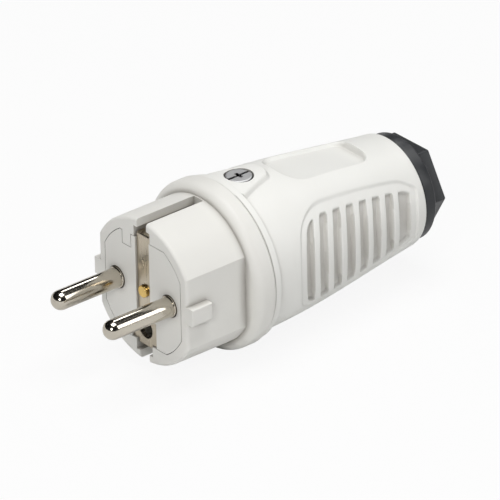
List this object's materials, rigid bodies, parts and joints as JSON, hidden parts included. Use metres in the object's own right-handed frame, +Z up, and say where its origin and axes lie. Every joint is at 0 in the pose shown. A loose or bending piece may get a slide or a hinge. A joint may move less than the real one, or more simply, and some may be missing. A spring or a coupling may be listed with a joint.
{
  "type": "earthed mains plug",
  "caption": "Rewirable earthed mains plug with round pins, side earth contacts, a barrel housing with ribbed grip panels and a hexagonal gland nut.",
  "frame": {"origin": "centre of the engagement face, midway between the pins", "axes": "+Y back along the plug to the cable, the pins pointing along -Y; +Z up to the fixing screw; +X to the right as seen from the pins"},
  "size_m": [0.0418, 0.1008, 0.0418],
  "materials": {
    "shell_plastic": "satin off-white",
    "housing_rubber": "satin off-white hard rubber",
    "inner_plastic": "satin light grey",
    "nickel": "nickel-plated, polished",
    "strap_nickel": "nickel-plated, satin",
    "brass": "plain brass",
    "zinc_steel": "zinc-plated",
    "seal_rubber": "matt black",
    "nut_plastic": "satin black"
  },
  "bodies": {
    "plug": {"front_shell": "shell_plastic", "pin_carrier": "shell_plastic", "pin_retainer": "inner_plastic", "pin_left": "nickel", "pin_right": "nickel", "earth_terminal": "brass", "earth_strap": "strap_nickel", "earth_sleeve": "strap_nickel", "terminal_screws": "zinc_steel", "wire_guards": "strap_nickel", "housing": "housing_rubber", "body_seal": "seal_rubber", "housing_screw": "zinc_steel", "screw_washer": "zinc_steel", "screw_insert": "brass", "clamp_cage": "inner_plastic", "gland_seal": "seal_rubber"},
    "gland_ring": {"slip_ring": "inner_plastic"},
    "gland_nut_body": {"gland_nut": "nut_plastic"}
  },
  "joints": [
    {"name": "gland_travel", "type": "slide", "parent": "plug", "child": "gland_ring", "axis": [0, 1, 0], "range_m": [0, 0.0075]},
    {"name": "gland_turn", "type": "hinge", "parent": "gland_ring", "child": "gland_nut_body", "pos_m": [0, 0.074, 0], "axis": [0, 1, 0], "range_deg": [0, 1800]}
  ],
  "couplings": [
    {"joint": "gland_travel", "follows": "gland_turn", "m_per_rad": 0.00023873}
  ]
}
